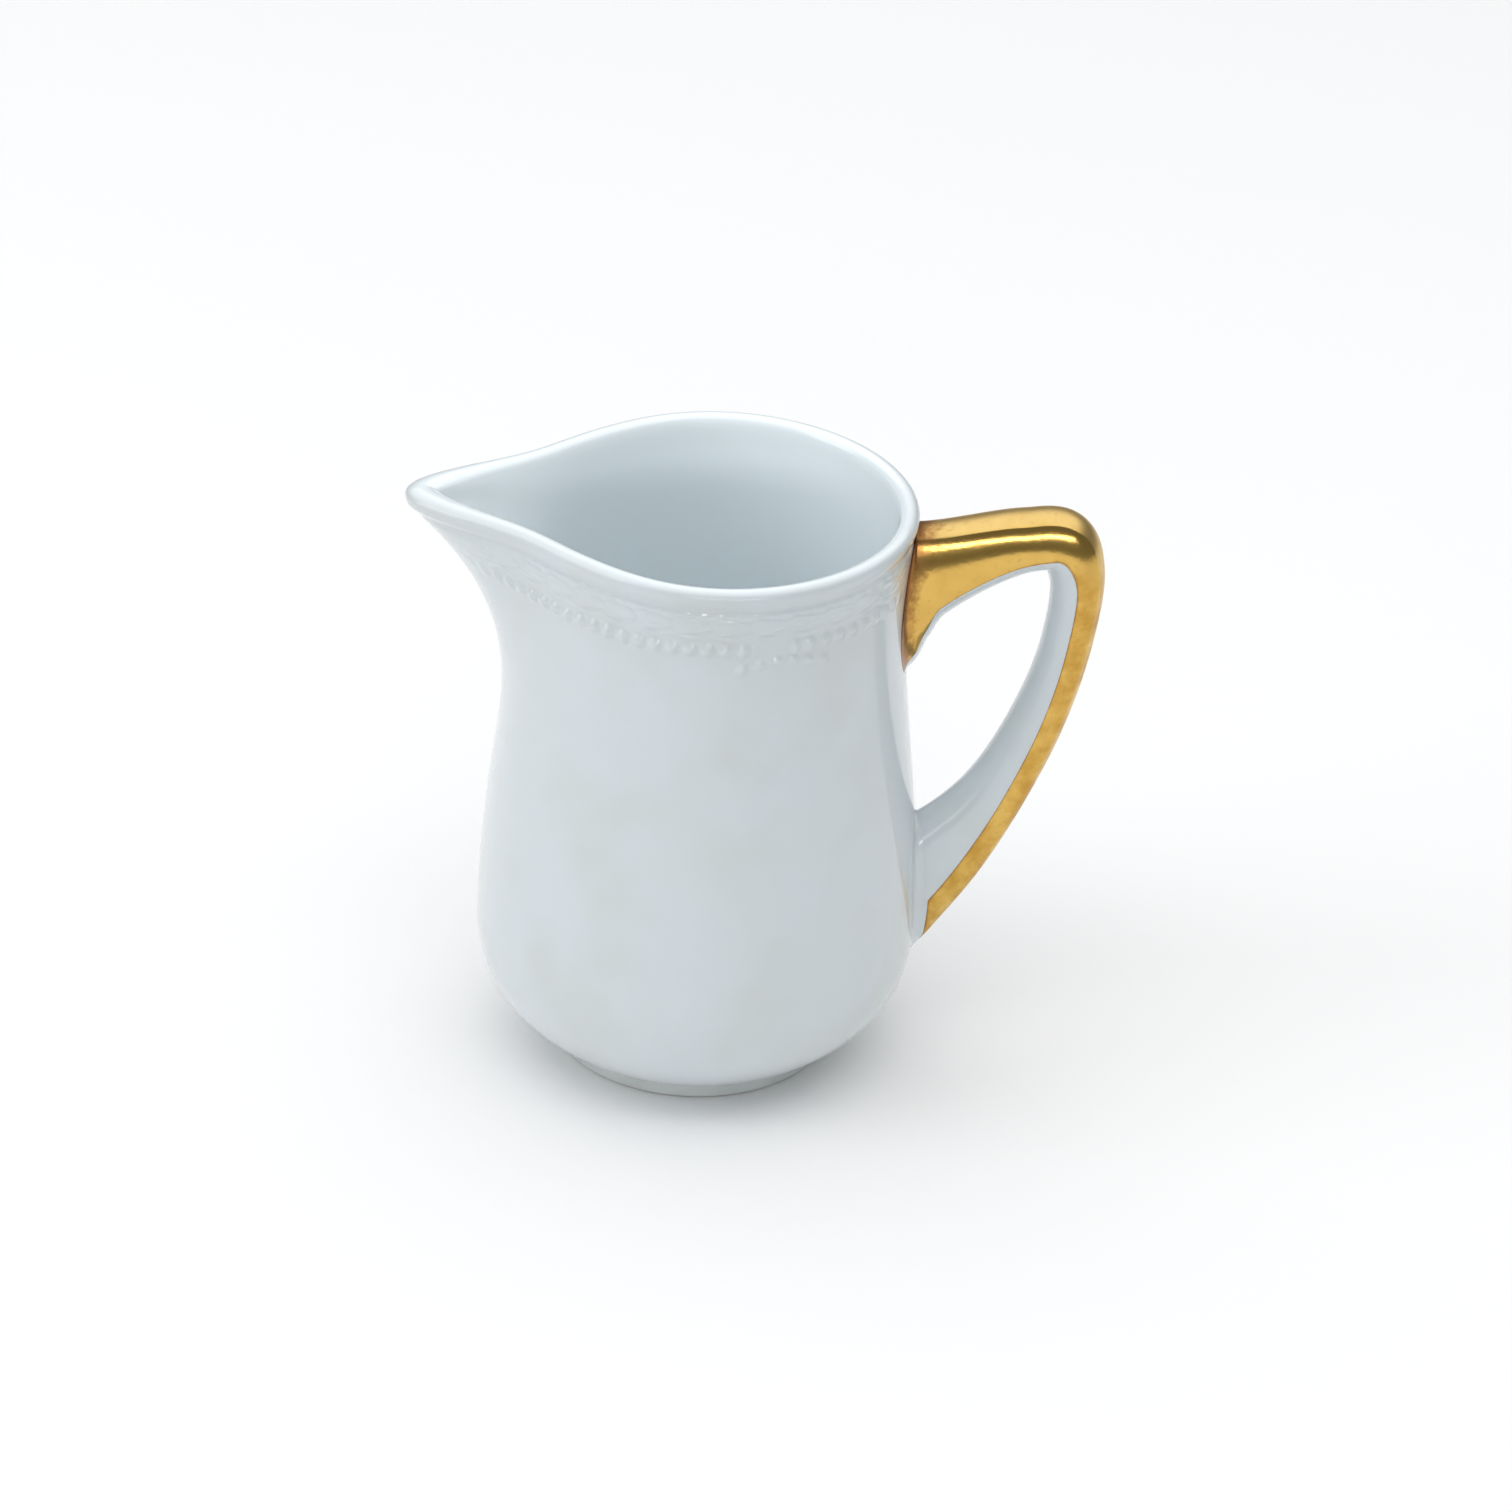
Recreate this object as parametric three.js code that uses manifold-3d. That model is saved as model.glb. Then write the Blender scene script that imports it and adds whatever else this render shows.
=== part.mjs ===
// A small porcelain cream jug: a slip-cast round-bellied body with a pouring spout and a
// rounded lip, a separate foot ring, a loop handle stuck on with two pads of slip, and a
// coat of fired gold along the back of the handle.
// Millimetres, +Z up. The jug stands on z = 0, its spout points to -X and its handle to +X.

import * as THREE from 'three';
import { mergeVertices } from 'three/addons/utils/BufferGeometryUtils.js';
import Module from 'manifold-3d';

const wasm = await Module();
wasm.setup();

// Driving dimensions -----------------------------------------------------------------------

const WALL = 2.7;
const BELLY_RADIUS = 35.0;
const BELLY_HEIGHT = 22.2;
const WAIST_RADIUS = 30.8;
const WAIST_HEIGHT = 80.0;
const LIP_OUTER_RADIUS = 31.65;
const LIP_CENTRE_HEIGHT = 94.3;
const LIP_FLARE = 0.45;

// How long the outline's Bezier curves run straight on, from each of its points.
const OUTLINE_PULL = {
  aboveStart: 11.1,
  belowBelly: 7.3,
  aboveBelly: 24.2,
  belowWaist: 20.0,
  aboveWaist: 6.0,
  belowLip: 5.0,
};
const OUTLINE_STEPS = [6, 10, 6];
const LIP_STEPS = 6;

const UNDERSIDE_HEIGHT = 2.3;
const UNDERSIDE_RADIUS = 21.8;
const BELLY_START = { radius: 23.5, height: 3.0, rise: 0.58 };
const FOOT_OUTER_RADIUS = 22.0;
const FOOT_INNER_RADIUS = 18.8;
const FOOT_ROUNDING = 0.6;
const FIT_GAP = 0.3;

// The spout is the lip pulled out towards -X, fading out down the wall.
const SPOUT_REACH = 16.6;
const SPOUT_HALF_ANGLE = 15.0;
const SPOUT_TIP_ROUNDING = 2.0;
const SPOUT_SHARPNESS = 1.6;
const PINCH_DEPTH = 1.6;
const PINCH_ANGLE = 52.0;
const PINCH_SPREAD = 28.0;
const SPOUT_ROOT_HEIGHT = 54.5;
const SPOUT_FULL_HEIGHT = 93.0;
const SPOUT_FADE_POWER = 2.45;

const BODY_SEGMENTS = 60;
const SEGMENT_CROWDING = 0.55;
const TANGENT_STEP = 0.01;
const MERGE_TOLERANCE = 1e-4;

// The handle is an oblong section swept along a loop in the plane y = 0. Each station is
// the centre of the section and half its depth, measured across the loop in that plane.
const HANDLE_STATIONS = [
  { x: 25.2, z: 81.9, halfDepth: 14.0 },
  { x: 33.6, z: 86.0, halfDepth: 7.3 },
  { x: 48.2, z: 91.1, halfDepth: 5.0 },
  { x: 54.2, z: 90.7, halfDepth: 5.3 },
  { x: 56.7, z: 85.9, halfDepth: 4.4 },
  { x: 56.1, z: 74.1, halfDepth: 4.0 },
  { x: 52.5, z: 60.3, halfDepth: 4.3 },
  { x: 45.8, z: 45.5, halfDepth: 5.2 },
  { x: 38.1, z: 35.1, halfDepth: 7.5 },
  { x: 30.7, z: 28.5, halfDepth: 10.4 },
];
const HANDLE_HALF_WIDTH = 4.6;
const HANDLE_SQUARENESS = 2.5;
const HANDLE_RINGS = 44;
const HANDLE_SIDES = 16;

const GILDING_THICKNESS = 0.3;
const GILDING_SIDES = 10;
// How far around the gold goes each way from the back, as a share of half the way around,
// and the shares of the loop over which it narrows.
const GILDING_REACH = { atTop: 0.74, onTheWayDown: 0.5 };
const GILDING_NARROWS = { from: 0.35, to: 0.55 };
const SLIP_THICKNESS = 1.0;
const SLIP_OVERHANG = 0.9;
// The shares of the loop near each end within which the two slips lie.
const UPPER_SLIP = { from: 0, to: 0.3 };
const LOWER_SLIP = { from: 0.7, to: 1 };

// Curves and small tools -------------------------------------------------------------------

const lerp = THREE.MathUtils.lerp;
const clamp = THREE.MathUtils.clamp;

const profilePoint = (radius, height) => new THREE.Vector2(radius, height);

// The outside of the body in half section: belly, neck and flared lip, from the foot up.
function bodyCurves() {
  const start = profilePoint(BELLY_START.radius, BELLY_START.height);
  const belly = profilePoint(BELLY_RADIUS, BELLY_HEIGHT);
  const waist = profilePoint(WAIST_RADIUS, WAIST_HEIGHT);
  const lip = profilePoint(LIP_OUTER_RADIUS, LIP_CENTRE_HEIGHT);
  return [
    new THREE.CubicBezierCurve(
      start,
      profilePoint(
        start.x + OUTLINE_PULL.aboveStart * Math.cos(BELLY_START.rise),
        start.y + OUTLINE_PULL.aboveStart * Math.sin(BELLY_START.rise),
      ),
      profilePoint(belly.x, belly.y - OUTLINE_PULL.belowBelly),
      belly,
    ),
    new THREE.CubicBezierCurve(
      belly,
      profilePoint(belly.x, belly.y + OUTLINE_PULL.aboveBelly),
      profilePoint(waist.x, waist.y - OUTLINE_PULL.belowWaist),
      waist,
    ),
    new THREE.CubicBezierCurve(
      waist,
      profilePoint(waist.x, waist.y + OUTLINE_PULL.aboveWaist),
      profilePoint(lip.x - LIP_FLARE, lip.y - OUTLINE_PULL.belowLip),
      lip,
    ),
  ];
}

// The same outline moved outwards by a distance; a negative distance gives the inside.
function bodyOutline(distance) {
  const points = [];
  bodyCurves().forEach((curve, index) => {
    const steps = OUTLINE_STEPS[index];
    for (let step = index === 0 ? 0 : 1; step <= steps; step += 1) {
      const point = curve.getPoint(step / steps);
      const tangent = curve.getTangent(step / steps);
      points.push(profilePoint(
        point.x + distance * tangent.y,
        point.y - distance * tangent.x,
      ));
    }
  });
  return points;
}

// A lathe turned about the Z axis.
function latheAboutZ(profile, segments) {
  return new THREE.LatheGeometry(profile, segments).rotateX(Math.PI / 2);
}

// How far the middle of the wall stands out at the lip, at an angle in degrees from the
// spout: a smooth beak at the front and a slight pinch behind it on each side.
function lipShift(degrees) {
  const rounded = degrees ** 2 + SPOUT_TIP_ROUNDING ** 2;
  const beak = (rounded ** (SPOUT_SHARPNESS / 2)) / SPOUT_HALF_ANGLE ** SPOUT_SHARPNESS;
  const pinch = ((degrees - PINCH_ANGLE) / PINCH_SPREAD) ** 2;
  return SPOUT_REACH * Math.exp(-beak) - PINCH_DEPTH * Math.exp(-pinch);
}

// How much of the spout there is at a height: none below its root, all of it at the lip.
function spoutFade(height) {
  const rise = (height - SPOUT_ROOT_HEIGHT) / (SPOUT_FULL_HEIGHT - SPOUT_ROOT_HEIGHT);
  return clamp(rise, 0, 1) ** SPOUT_FADE_POWER;
}

// Pulls the spout out of a round body, with the segments crowded towards it. The middle of
// the wall moves out along the radius, and both faces stay half a wall away from it along
// its own normal.
function pullSpout(geometry, middleRadiusAt) {
  const position = geometry.attributes.position;
  for (let index = 0; index < position.count; index += 1) {
    const x = position.getX(index);
    const y = position.getY(index);
    const z = position.getZ(index);
    const radius = Math.hypot(x, y);
    const fade = spoutFade(z);
    const turn = Math.atan2(y, -x);
    const angle = turn - SEGMENT_CROWDING * Math.sin(turn);
    let place = profilePoint(radius * Math.cos(angle), radius * Math.sin(angle));
    if (fade > 0 && radius > WALL) {
      const middle = middleRadiusAt(z);
      const middleAt = (theta) => {
        const degrees = Math.abs(THREE.MathUtils.radToDeg(theta));
        const reach = middle + fade * lipShift(degrees);
        return profilePoint(reach * Math.cos(theta), reach * Math.sin(theta));
      };
      const ahead = middleAt(angle + TANGENT_STEP);
      const tangent = ahead.sub(middleAt(angle - TANGENT_STEP)).normalize();
      const outwards = profilePoint(tangent.y, -tangent.x);
      place = middleAt(angle).addScaledVector(outwards, radius - middle);
    }
    position.setXY(index, -place.x, place.y);
  }
  return geometry;
}

// Joins closed rings of points into one closed solid with a flat cap at each end.
function loft(rings) {
  const sides = rings[0].length;
  const positions = [];
  const indices = [];
  rings.forEach((ring) => ring.forEach((point) => positions.push(point.x, point.y, point.z)));
  for (let row = 0; row < rings.length - 1; row += 1) {
    for (let side = 0; side < sides; side += 1) {
      const next = (side + 1) % sides;
      const a = row * sides + side;
      const b = row * sides + next;
      indices.push(a, b, b + sides, a, b + sides, a + sides);
    }
  }
  const cap = (row, reversed) => {
    const outline = rings[row];
    const flat = outline.map((point) => profilePoint(point.sectionX, point.sectionY));
    THREE.ShapeUtils.triangulateShape(flat, []).forEach(([a, b, c]) => {
      const offset = row * sides;
      indices.push(...(reversed ? [a, c, b] : [a, b, c]).map((corner) => corner + offset));
    });
  };
  cap(0, true);
  cap(rings.length - 1, false);
  const geometry = new THREE.BufferGeometry();
  geometry.setAttribute('position', new THREE.Float32BufferAttribute(positions, 3));
  geometry.setIndex(indices);
  return geometry;
}

// A closed solid for cutting, from a mesh's welded corners without its empty triangles.
function toSolid(geometry) {
  const bare = geometry.clone();
  bare.deleteAttribute('normal');
  bare.deleteAttribute('uv');
  const merged = mergeVertices(bare, MERGE_TOLERANCE);
  const corners = merged.index.array;
  const kept = [];
  for (let at = 0; at < corners.length; at += 3) {
    const [a, b, c] = corners.slice(at, at + 3);
    if (a !== b && b !== c && c !== a) kept.push(a, b, c);
  }
  return new wasm.Manifold(new wasm.Mesh({
    numProp: 3,
    vertProperties: new Float32Array(merged.attributes.position.array),
    triVerts: new Uint32Array(kept),
  }));
}

function fromSolid(solid) {
  const mesh = solid.getMesh();
  const geometry = new THREE.BufferGeometry();
  geometry.setAttribute('position', new THREE.BufferAttribute(mesh.vertProperties, 3));
  geometry.setIndex(new THREE.BufferAttribute(mesh.triVerts, 1));
  return geometry;
}

// Body and foot ----------------------------------------------------------------------------

// One cast shell: underside, outer wall, half-round lip, inner wall and inner floor.
function bodyCasting() {
  const outside = bodyOutline(0);
  const inside = bodyOutline(-WALL).reverse();
  const lipRadius = WALL / 2;
  const lipMiddle = LIP_OUTER_RADIUS - lipRadius;
  const lip = [];
  for (let step = 1; step < LIP_STEPS; step += 1) {
    const angle = (Math.PI * step) / LIP_STEPS;
    lip.push(profilePoint(
      lipMiddle + lipRadius * Math.cos(angle),
      LIP_CENTRE_HEIGHT + lipRadius * Math.sin(angle),
    ));
  }
  const floor = inside[inside.length - 1];
  const profile = [
    profilePoint(0, UNDERSIDE_HEIGHT),
    profilePoint(UNDERSIDE_RADIUS, UNDERSIDE_HEIGHT),
    ...outside,
    ...lip,
    ...inside,
    profilePoint(0, floor.y),
  ];
  const middleRadiusAt = (height) => {
    const at = outside.findIndex((point) => point.y >= height);
    if (at < 1) return lipMiddle;
    const below = outside[at - 1];
    const above = outside[at];
    const share = (height - below.y) / (above.y - below.y);
    return lerp(below.x, above.x, share) - lipRadius;
  };
  return pullSpout(latheAboutZ(profile, BODY_SEGMENTS), middleRadiusAt);
}

// A plain ring with rounded lower edges; its flat underside is what the jug stands on.
function footRing() {
  const top = UNDERSIDE_HEIGHT - FIT_GAP;
  const profile = [
    profilePoint(FOOT_INNER_RADIUS, top),
    profilePoint(FOOT_INNER_RADIUS, FOOT_ROUNDING),
    profilePoint(FOOT_INNER_RADIUS + FOOT_ROUNDING, 0),
    profilePoint(FOOT_OUTER_RADIUS - FOOT_ROUNDING, 0),
    profilePoint(FOOT_OUTER_RADIUS, FOOT_ROUNDING),
    profilePoint(FOOT_OUTER_RADIUS, top),
    profilePoint(FOOT_INNER_RADIUS, top),
  ];
  return latheAboutZ(profile, BODY_SEGMENTS);
}

// A solid of the body's outside, grown by a distance, used to cut the handle's parts back.
function bodyClearance(distance) {
  const outline = bodyOutline(distance);
  const top = LIP_CENTRE_HEIGHT + WALL / 2 + distance;
  const profile = [
    profilePoint(0, outline[0].y),
    ...outline,
    profilePoint(LIP_OUTER_RADIUS + distance, top),
    profilePoint(0, top),
  ];
  return toSolid(latheAboutZ(profile, BODY_SEGMENTS));
}

// Handle -----------------------------------------------------------------------------------

const handleCurve = new THREE.CatmullRomCurve3(
  HANDLE_STATIONS.map(({ x, z }) => new THREE.Vector3(x, 0, z)),
);

const depthCurve = new THREE.SplineCurve(
  HANDLE_STATIONS.map(({ halfDepth }, index) => profilePoint(index, halfDepth)),
);

// A rounded oblong: the point at a turn around it, from the back of the handle.
function oblong(turn, halfDepth, halfWidth) {
  const power = 2 / HANDLE_SQUARENESS;
  const round = (value) => Math.sign(value) * Math.abs(value) ** power;
  return profilePoint(
    halfDepth * round(Math.cos(turn)),
    halfWidth * round(Math.sin(turn)),
  );
}

// Sweeps a section along the handle's loop. sectionAt(share, halfDepth) lists the section's
// points: x across the loop, out to its back, and y across the width.
function sweepHandle(sectionAt, from = 0, to = 1) {
  const rings = [];
  for (let ring = 0; ring <= HANDLE_RINGS; ring += 1) {
    const share = lerp(from, to, ring / HANDLE_RINGS);
    const centre = handleCurve.getPoint(share);
    const tangent = handleCurve.getTangent(share);
    const back = new THREE.Vector3(-tangent.z, 0, tangent.x);
    const halfDepth = depthCurve.getPoint(share).y;
    rings.push(sectionAt(share, halfDepth).map((point) => {
      const place = centre.clone().addScaledVector(back, point.x);
      place.y = -point.y;
      place.sectionX = point.x;
      place.sectionY = point.y;
      return place;
    }));
  }
  return loft(rings);
}

// The handle's own section, taken in by an inset on every side.
function handleSection(inset) {
  return (share, halfDepth) => Array.from({ length: HANDLE_SIDES }, (_, side) => oblong(
    (2 * Math.PI * side) / HANDLE_SIDES,
    halfDepth - inset,
    HANDLE_HALF_WIDTH - inset,
  ));
}

// The gold wraps the back and both sides. It covers nearly all of each side where the
// handle leaves the body, and about half of it on the way down.
function gildingTurn(share) {
  const descent = THREE.MathUtils.smoothstep(share, GILDING_NARROWS.from, GILDING_NARROWS.to);
  return Math.PI * lerp(GILDING_REACH.atTop, GILDING_REACH.onTheWayDown, descent);
}

// A thin open ring of gold: around on its outside, then back on its inside.
function gildingSection(share, halfDepth) {
  const reach = gildingTurn(share);
  const skin = (inset) => Array.from({ length: GILDING_SIDES + 1 }, (_, side) => oblong(
    lerp(-reach, reach, side / GILDING_SIDES),
    halfDepth - inset,
    HANDLE_HALF_WIDTH - inset,
  ));
  return [...skin(0), ...skin(GILDING_THICKNESS).reverse()];
}

function handleCasting() {
  const sweep = toSolid(sweepHandle(handleSection(GILDING_THICKNESS + FIT_GAP)));
  return fromSolid(sweep.subtract(bodyClearance(SLIP_THICKNESS + 2 * FIT_GAP)));
}

function handleGilding() {
  const sweep = toSolid(sweepHandle(gildingSection));
  return fromSolid(sweep.subtract(bodyClearance(SLIP_THICKNESS + 2 * FIT_GAP)));
}

// A pad of slip between one end of the handle and the wall, a little wider than the handle.
function slipPad({ from, to }) {
  const sweep = toSolid(sweepHandle(handleSection(-SLIP_OVERHANG), from, to));
  const layer = bodyClearance(SLIP_THICKNESS + FIT_GAP).subtract(bodyClearance(FIT_GAP));
  return fromSolid(sweep.intersect(layer));
}

// Materials and the assembled jug ----------------------------------------------------------

const porcelain = new THREE.MeshStandardMaterial({ color: 0xe3e8ea, roughness: 0.12 });
const barePorcelain = new THREE.MeshStandardMaterial({ color: 0xc9cac2, roughness: 0.6 });
const gold = new THREE.MeshStandardMaterial({ color: 0xc79a45, roughness: 0.3, metalness: 1 });

function part(name, geometry, material) {
  const mesh = new THREE.Mesh(geometry, material);
  mesh.name = name;
  return mesh;
}

const jug = new THREE.Group();
jug.add(
  part('body_casting', bodyCasting(), porcelain),
  part('foot_ring', footRing(), barePorcelain),
  part('handle_casting', handleCasting(), porcelain),
  part('handle_gilding', handleGilding(), gold),
  part('upper_handle_slip', slipPad(UPPER_SLIP), porcelain),
  part('lower_handle_slip', slipPad(LOWER_SLIP), porcelain),
);

// The origin is under the middle of the whole jug, between the spout's tip and the handle.
const extent = new THREE.Box3().setFromObject(jug);
jug.position.x = -(extent.min.x + extent.max.x) / 2;

export default jug;
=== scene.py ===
import math

import bpy
import numpy as np
from mathutils import Matrix, Vector


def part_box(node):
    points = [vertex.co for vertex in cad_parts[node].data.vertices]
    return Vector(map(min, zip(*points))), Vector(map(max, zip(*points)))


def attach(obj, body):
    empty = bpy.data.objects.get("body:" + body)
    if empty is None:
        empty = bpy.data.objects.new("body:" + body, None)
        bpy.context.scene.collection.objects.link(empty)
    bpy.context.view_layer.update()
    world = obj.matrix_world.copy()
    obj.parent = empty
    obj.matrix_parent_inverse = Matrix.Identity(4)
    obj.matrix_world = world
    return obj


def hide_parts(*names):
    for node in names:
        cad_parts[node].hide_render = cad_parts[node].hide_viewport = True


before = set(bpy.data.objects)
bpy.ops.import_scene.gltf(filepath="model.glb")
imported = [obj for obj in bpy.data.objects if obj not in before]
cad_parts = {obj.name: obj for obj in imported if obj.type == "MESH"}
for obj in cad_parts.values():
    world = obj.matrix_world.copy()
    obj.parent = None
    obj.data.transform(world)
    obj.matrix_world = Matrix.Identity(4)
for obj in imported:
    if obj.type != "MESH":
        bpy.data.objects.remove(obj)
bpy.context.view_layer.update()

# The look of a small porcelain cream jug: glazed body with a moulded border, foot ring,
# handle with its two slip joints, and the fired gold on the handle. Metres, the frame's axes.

# Driving dimensions -----------------------------------------------------------------------

foot_low, foot_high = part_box("foot_ring")
AXIS_X = (foot_low[0] + foot_high[0]) / 2

WALL = 0.0027
BELLY_RADIUS = 0.0350
BELLY_HEIGHT = 0.0222
WAIST_RADIUS = 0.0308
WAIST_HEIGHT = 0.0800
LIP_OUTER_RADIUS = 0.03165
LIP_CENTRE_HEIGHT = 0.0943
LIP_FLARE = 0.00045
BELLY_START_RADIUS = 0.0235
BELLY_START_HEIGHT = 0.0030
BELLY_START_RISE = 0.58
UNDERSIDE_HEIGHT = 0.0023
FOOT_OUTER_RADIUS = 0.0220
FOOT_INNER_RADIUS = 0.0188

# How long the outline's Bezier curves run straight on, from each of its points.
PULL_ABOVE_START = 0.0111
PULL_BELOW_BELLY = 0.0073
PULL_ABOVE_BELLY = 0.0242
PULL_BELOW_WAIST = 0.0200
PULL_ABOVE_WAIST = 0.0060
PULL_BELOW_LIP = 0.0050

# The spout: lengths in metres, angles in degrees around the wall from its tip.
SPOUT_REACH = 0.0166
SPOUT_HALF_ANGLE = 15.0
SPOUT_TIP_ROUNDING = 2.0
SPOUT_SHARPNESS = 1.6
PINCH_DEPTH = 0.0016
PINCH_ANGLE = 52.0
PINCH_SPREAD = 28.0
SPOUT_ROOT_HEIGHT = 0.0545
SPOUT_FULL_HEIGHT = 0.0930
SPOUT_FADE_POWER = 2.45
TIP_THICKENING = 0.0022
TIP_THICKENING_SPREAD = 13.0

# The moulded border, from the top down: the lip's bead over a groove, small lobes, a band of
# leaves, a cord, pearls, and a short bow of smaller drops on each side.
LIP_BEAD = 0.00026
GROOVE_HEIGHT = 0.0922
GROOVE_DEPTH = 0.00024
GROOVE_WIDTH = 0.00075
LOBE_RISE = 0.00013
LOBE_HEIGHT = 0.0914
LOBE_PITCH = 0.0026
LEAF_HEIGHT = 0.0895
LEAF_HALF_WIDTH = 0.0016
LEAF_PITCH = 0.0059
CORD_HEIGHT = 0.0876
CORD_RISE = 0.00024
PEARL_HEIGHT = 0.0854
PEARL_PITCH = 0.0027
PEARL_RADIUS = 0.00150
PEARL_RISE = 0.00058
DROP_HEIGHT = 0.0826
DROP_RISE = 0.00045
BOW_ANGLES = (103.0, 115.0)
DROP_ANGLES = (97.0, 129.0)

# The handle's stations, from the upper root round to the lower one: x from the body's axis,
# z, and half the depth across the loop.
HANDLE_STATIONS = np.array([
    (0.0225, 0.0806, 0.0148),
    (0.0262, 0.0822, 0.0141),
    (0.0297, 0.0838, 0.0107),
    (0.0335, 0.0855, 0.0079),
    (0.0482, 0.0911, 0.0050),
    (0.0542, 0.0907, 0.0054),
    (0.0567, 0.0859, 0.0044),
    (0.0561, 0.0741, 0.0040),
    (0.0525, 0.0603, 0.0043),
    (0.0458, 0.0455, 0.0052),
    (0.0381, 0.0351, 0.0075),
    (0.0307, 0.0285, 0.0102),
    (0.0240, 0.0232, 0.0120),
])
HANDLE_HALF_WIDTH = 0.0047
BACK_CROWN = 0.0017
CREASE_SOFTNESS = 0.0004
ROOT_FLARE = 0.30
UPPER_FILLET = 0.0022
LOWER_FILLET = 0.0014
GOLD_BAND = 0.0043
GILDING_LIFT = 0.00004

CAMERA_ELEVATION = 29.5
CAMERA_ROLL = 2.58
CAMERA_DISTANCE = 1.0
CAMERA_TARGET_HEIGHT = 0.045
CAMERA_LENS = 150.3
CAMERA_SHIFT = (0.0361, 0.0182)

BODY_COLUMNS = 720
SEGMENT_CROWDING = 0.3


# Small tools ------------------------------------------------------------------------------

def lerp(a, b, share):
    return a + (b - a) * share


def smoothstep(low, high, value):
    share = np.clip((value - low) / (high - low), 0.0, 1.0)
    return share * share * (3.0 - 2.0 * share)


def bump(offset, width):
    """A soft bell, 1 in the middle and e^-1 at one width away."""
    return np.exp(-(offset / width) ** 2)


def bezier(corners, shares):
    """Points and directions of a cubic Bezier curve in the plane."""
    a, b, c, d = [np.array(corner) for corner in corners]
    t = np.asarray(shares)[:, None]
    points = (1 - t) ** 3 * a + 3 * (1 - t) ** 2 * t * b + 3 * (1 - t) * t ** 2 * c + t ** 3 * d
    slopes = 3 * (1 - t) ** 2 * (b - a) + 6 * (1 - t) * t * (c - b) + 3 * t ** 2 * (d - c)
    return points, slopes / np.linalg.norm(slopes, axis=1)[:, None]


def unit(vectors):
    return vectors / np.maximum(np.linalg.norm(vectors, axis=-1, keepdims=True), 1e-12)


def grid_faces(rows, columns, wrap_columns=True):
    """Quads between neighbouring rows of a grid of vertices."""
    column = np.arange(columns if wrap_columns else columns - 1)
    following = (column + 1) % columns
    row = np.arange(rows - 1)[:, None] * columns
    corners = (row + column, row + following, row + columns + following, row + columns + column)
    return np.stack(corners, axis=-1).reshape(-1, 4)


def make_piece(name, points, faces, material, attributes=None, normals=None):
    """A smooth mesh object from an array of points and a list of faces."""
    mesh = bpy.data.meshes.new(name)
    mesh.from_pydata(points.reshape(-1, 3).tolist(), [], [list(map(int, face)) for face in faces])
    mesh.polygons.foreach_set("use_smooth", [True] * len(mesh.polygons))
    for key, values in (attributes or {}).items():
        layer = mesh.attributes.new(key, "FLOAT", "POINT")
        layer.data.foreach_set("value", np.asarray(values, dtype=np.float32).ravel())
    mesh.validate()
    mesh.update()
    if normals is not None:
        mesh.normals_split_custom_set_from_vertices(normals.reshape(-1, 3).tolist())
    piece = bpy.data.objects.new(name, mesh)
    bpy.context.scene.collection.objects.link(piece)
    mesh.materials.append(material)
    return piece


def dress(piece, node):
    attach(piece, "root")
    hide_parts(node)


# Material tools ---------------------------------------------------------------------------

def new_material(name, **values):
    """A Principled material with plain values set on its own sockets."""
    material = bpy.data.materials.new(name)
    material.use_nodes = True
    shader = material.node_tree.nodes["Principled BSDF"]
    for key, value in values.items():
        shader.inputs[key.replace("_", " ")].default_value = value
    return material, material.node_tree, shader


def noise(tree, scale, detail=3.0, roughness=0.5):
    """Noise over the object's own coordinates; scale is in cycles per metre."""
    place = tree.nodes.new("ShaderNodeTexCoord")
    pattern = tree.nodes.new("ShaderNodeTexNoise")
    pattern.inputs["Scale"].default_value = scale
    pattern.inputs["Detail"].default_value = detail
    pattern.inputs["Roughness"].default_value = roughness
    tree.links.new(place.outputs["Object"], pattern.inputs["Vector"])
    return pattern.outputs["Fac"]


def attribute(tree, name):
    node = tree.nodes.new("ShaderNodeAttribute")
    node.attribute_name = name
    return node.outputs["Fac"]


def ramp(tree, value, low, high, first, last):
    """Maps a value from low..high to first..last, held at both ends."""
    node = tree.nodes.new("ShaderNodeMapRange")
    tree.links.new(value, node.inputs["Value"])
    node.inputs["From Min"].default_value = low
    node.inputs["From Max"].default_value = high
    node.inputs["To Min"].default_value = first
    node.inputs["To Max"].default_value = last
    return node.outputs["Result"]


def blend(tree, share, first, last):
    """A colour between two, each a plain colour or a socket."""
    node = tree.nodes.new("ShaderNodeMix")
    node.data_type = "RGBA"
    tree.links.new(share, node.inputs[0])
    for socket, colour in ((node.inputs[6], first), (node.inputs[7], last)):
        if isinstance(colour, bpy.types.NodeSocket):
            tree.links.new(colour, socket)
        else:
            socket.default_value = (*colour, 1.0)
    return node.outputs[2]


def calculate(tree, operation, first, second):
    node = tree.nodes.new("ShaderNodeMath")
    node.operation = operation
    for socket, value in ((node.inputs[0], first), (node.inputs[1], second)):
        if isinstance(value, bpy.types.NodeSocket):
            tree.links.new(value, socket)
        else:
            socket.default_value = value
    return node.outputs[0]


def add_bump(tree, shader, height, distance, strength=1.0):
    node = tree.nodes.new("ShaderNodeBump")
    node.inputs["Strength"].default_value = strength
    node.inputs["Distance"].default_value = distance
    tree.links.new(height, node.inputs["Height"])
    tree.links.new(node.outputs["Normal"], shader.inputs["Normal"])


# Materials --------------------------------------------------------------------------------

PORCELAIN = (0.630, 0.690, 0.725)
PORCELAIN_SHADE = (0.615, 0.675, 0.695)
STAIN = (0.600, 0.648, 0.650)
# Painted light: a whiter colour for the lip and the inside.
PAINTED_LIGHT_WHITE = (0.835, 0.905, 0.935)


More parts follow.
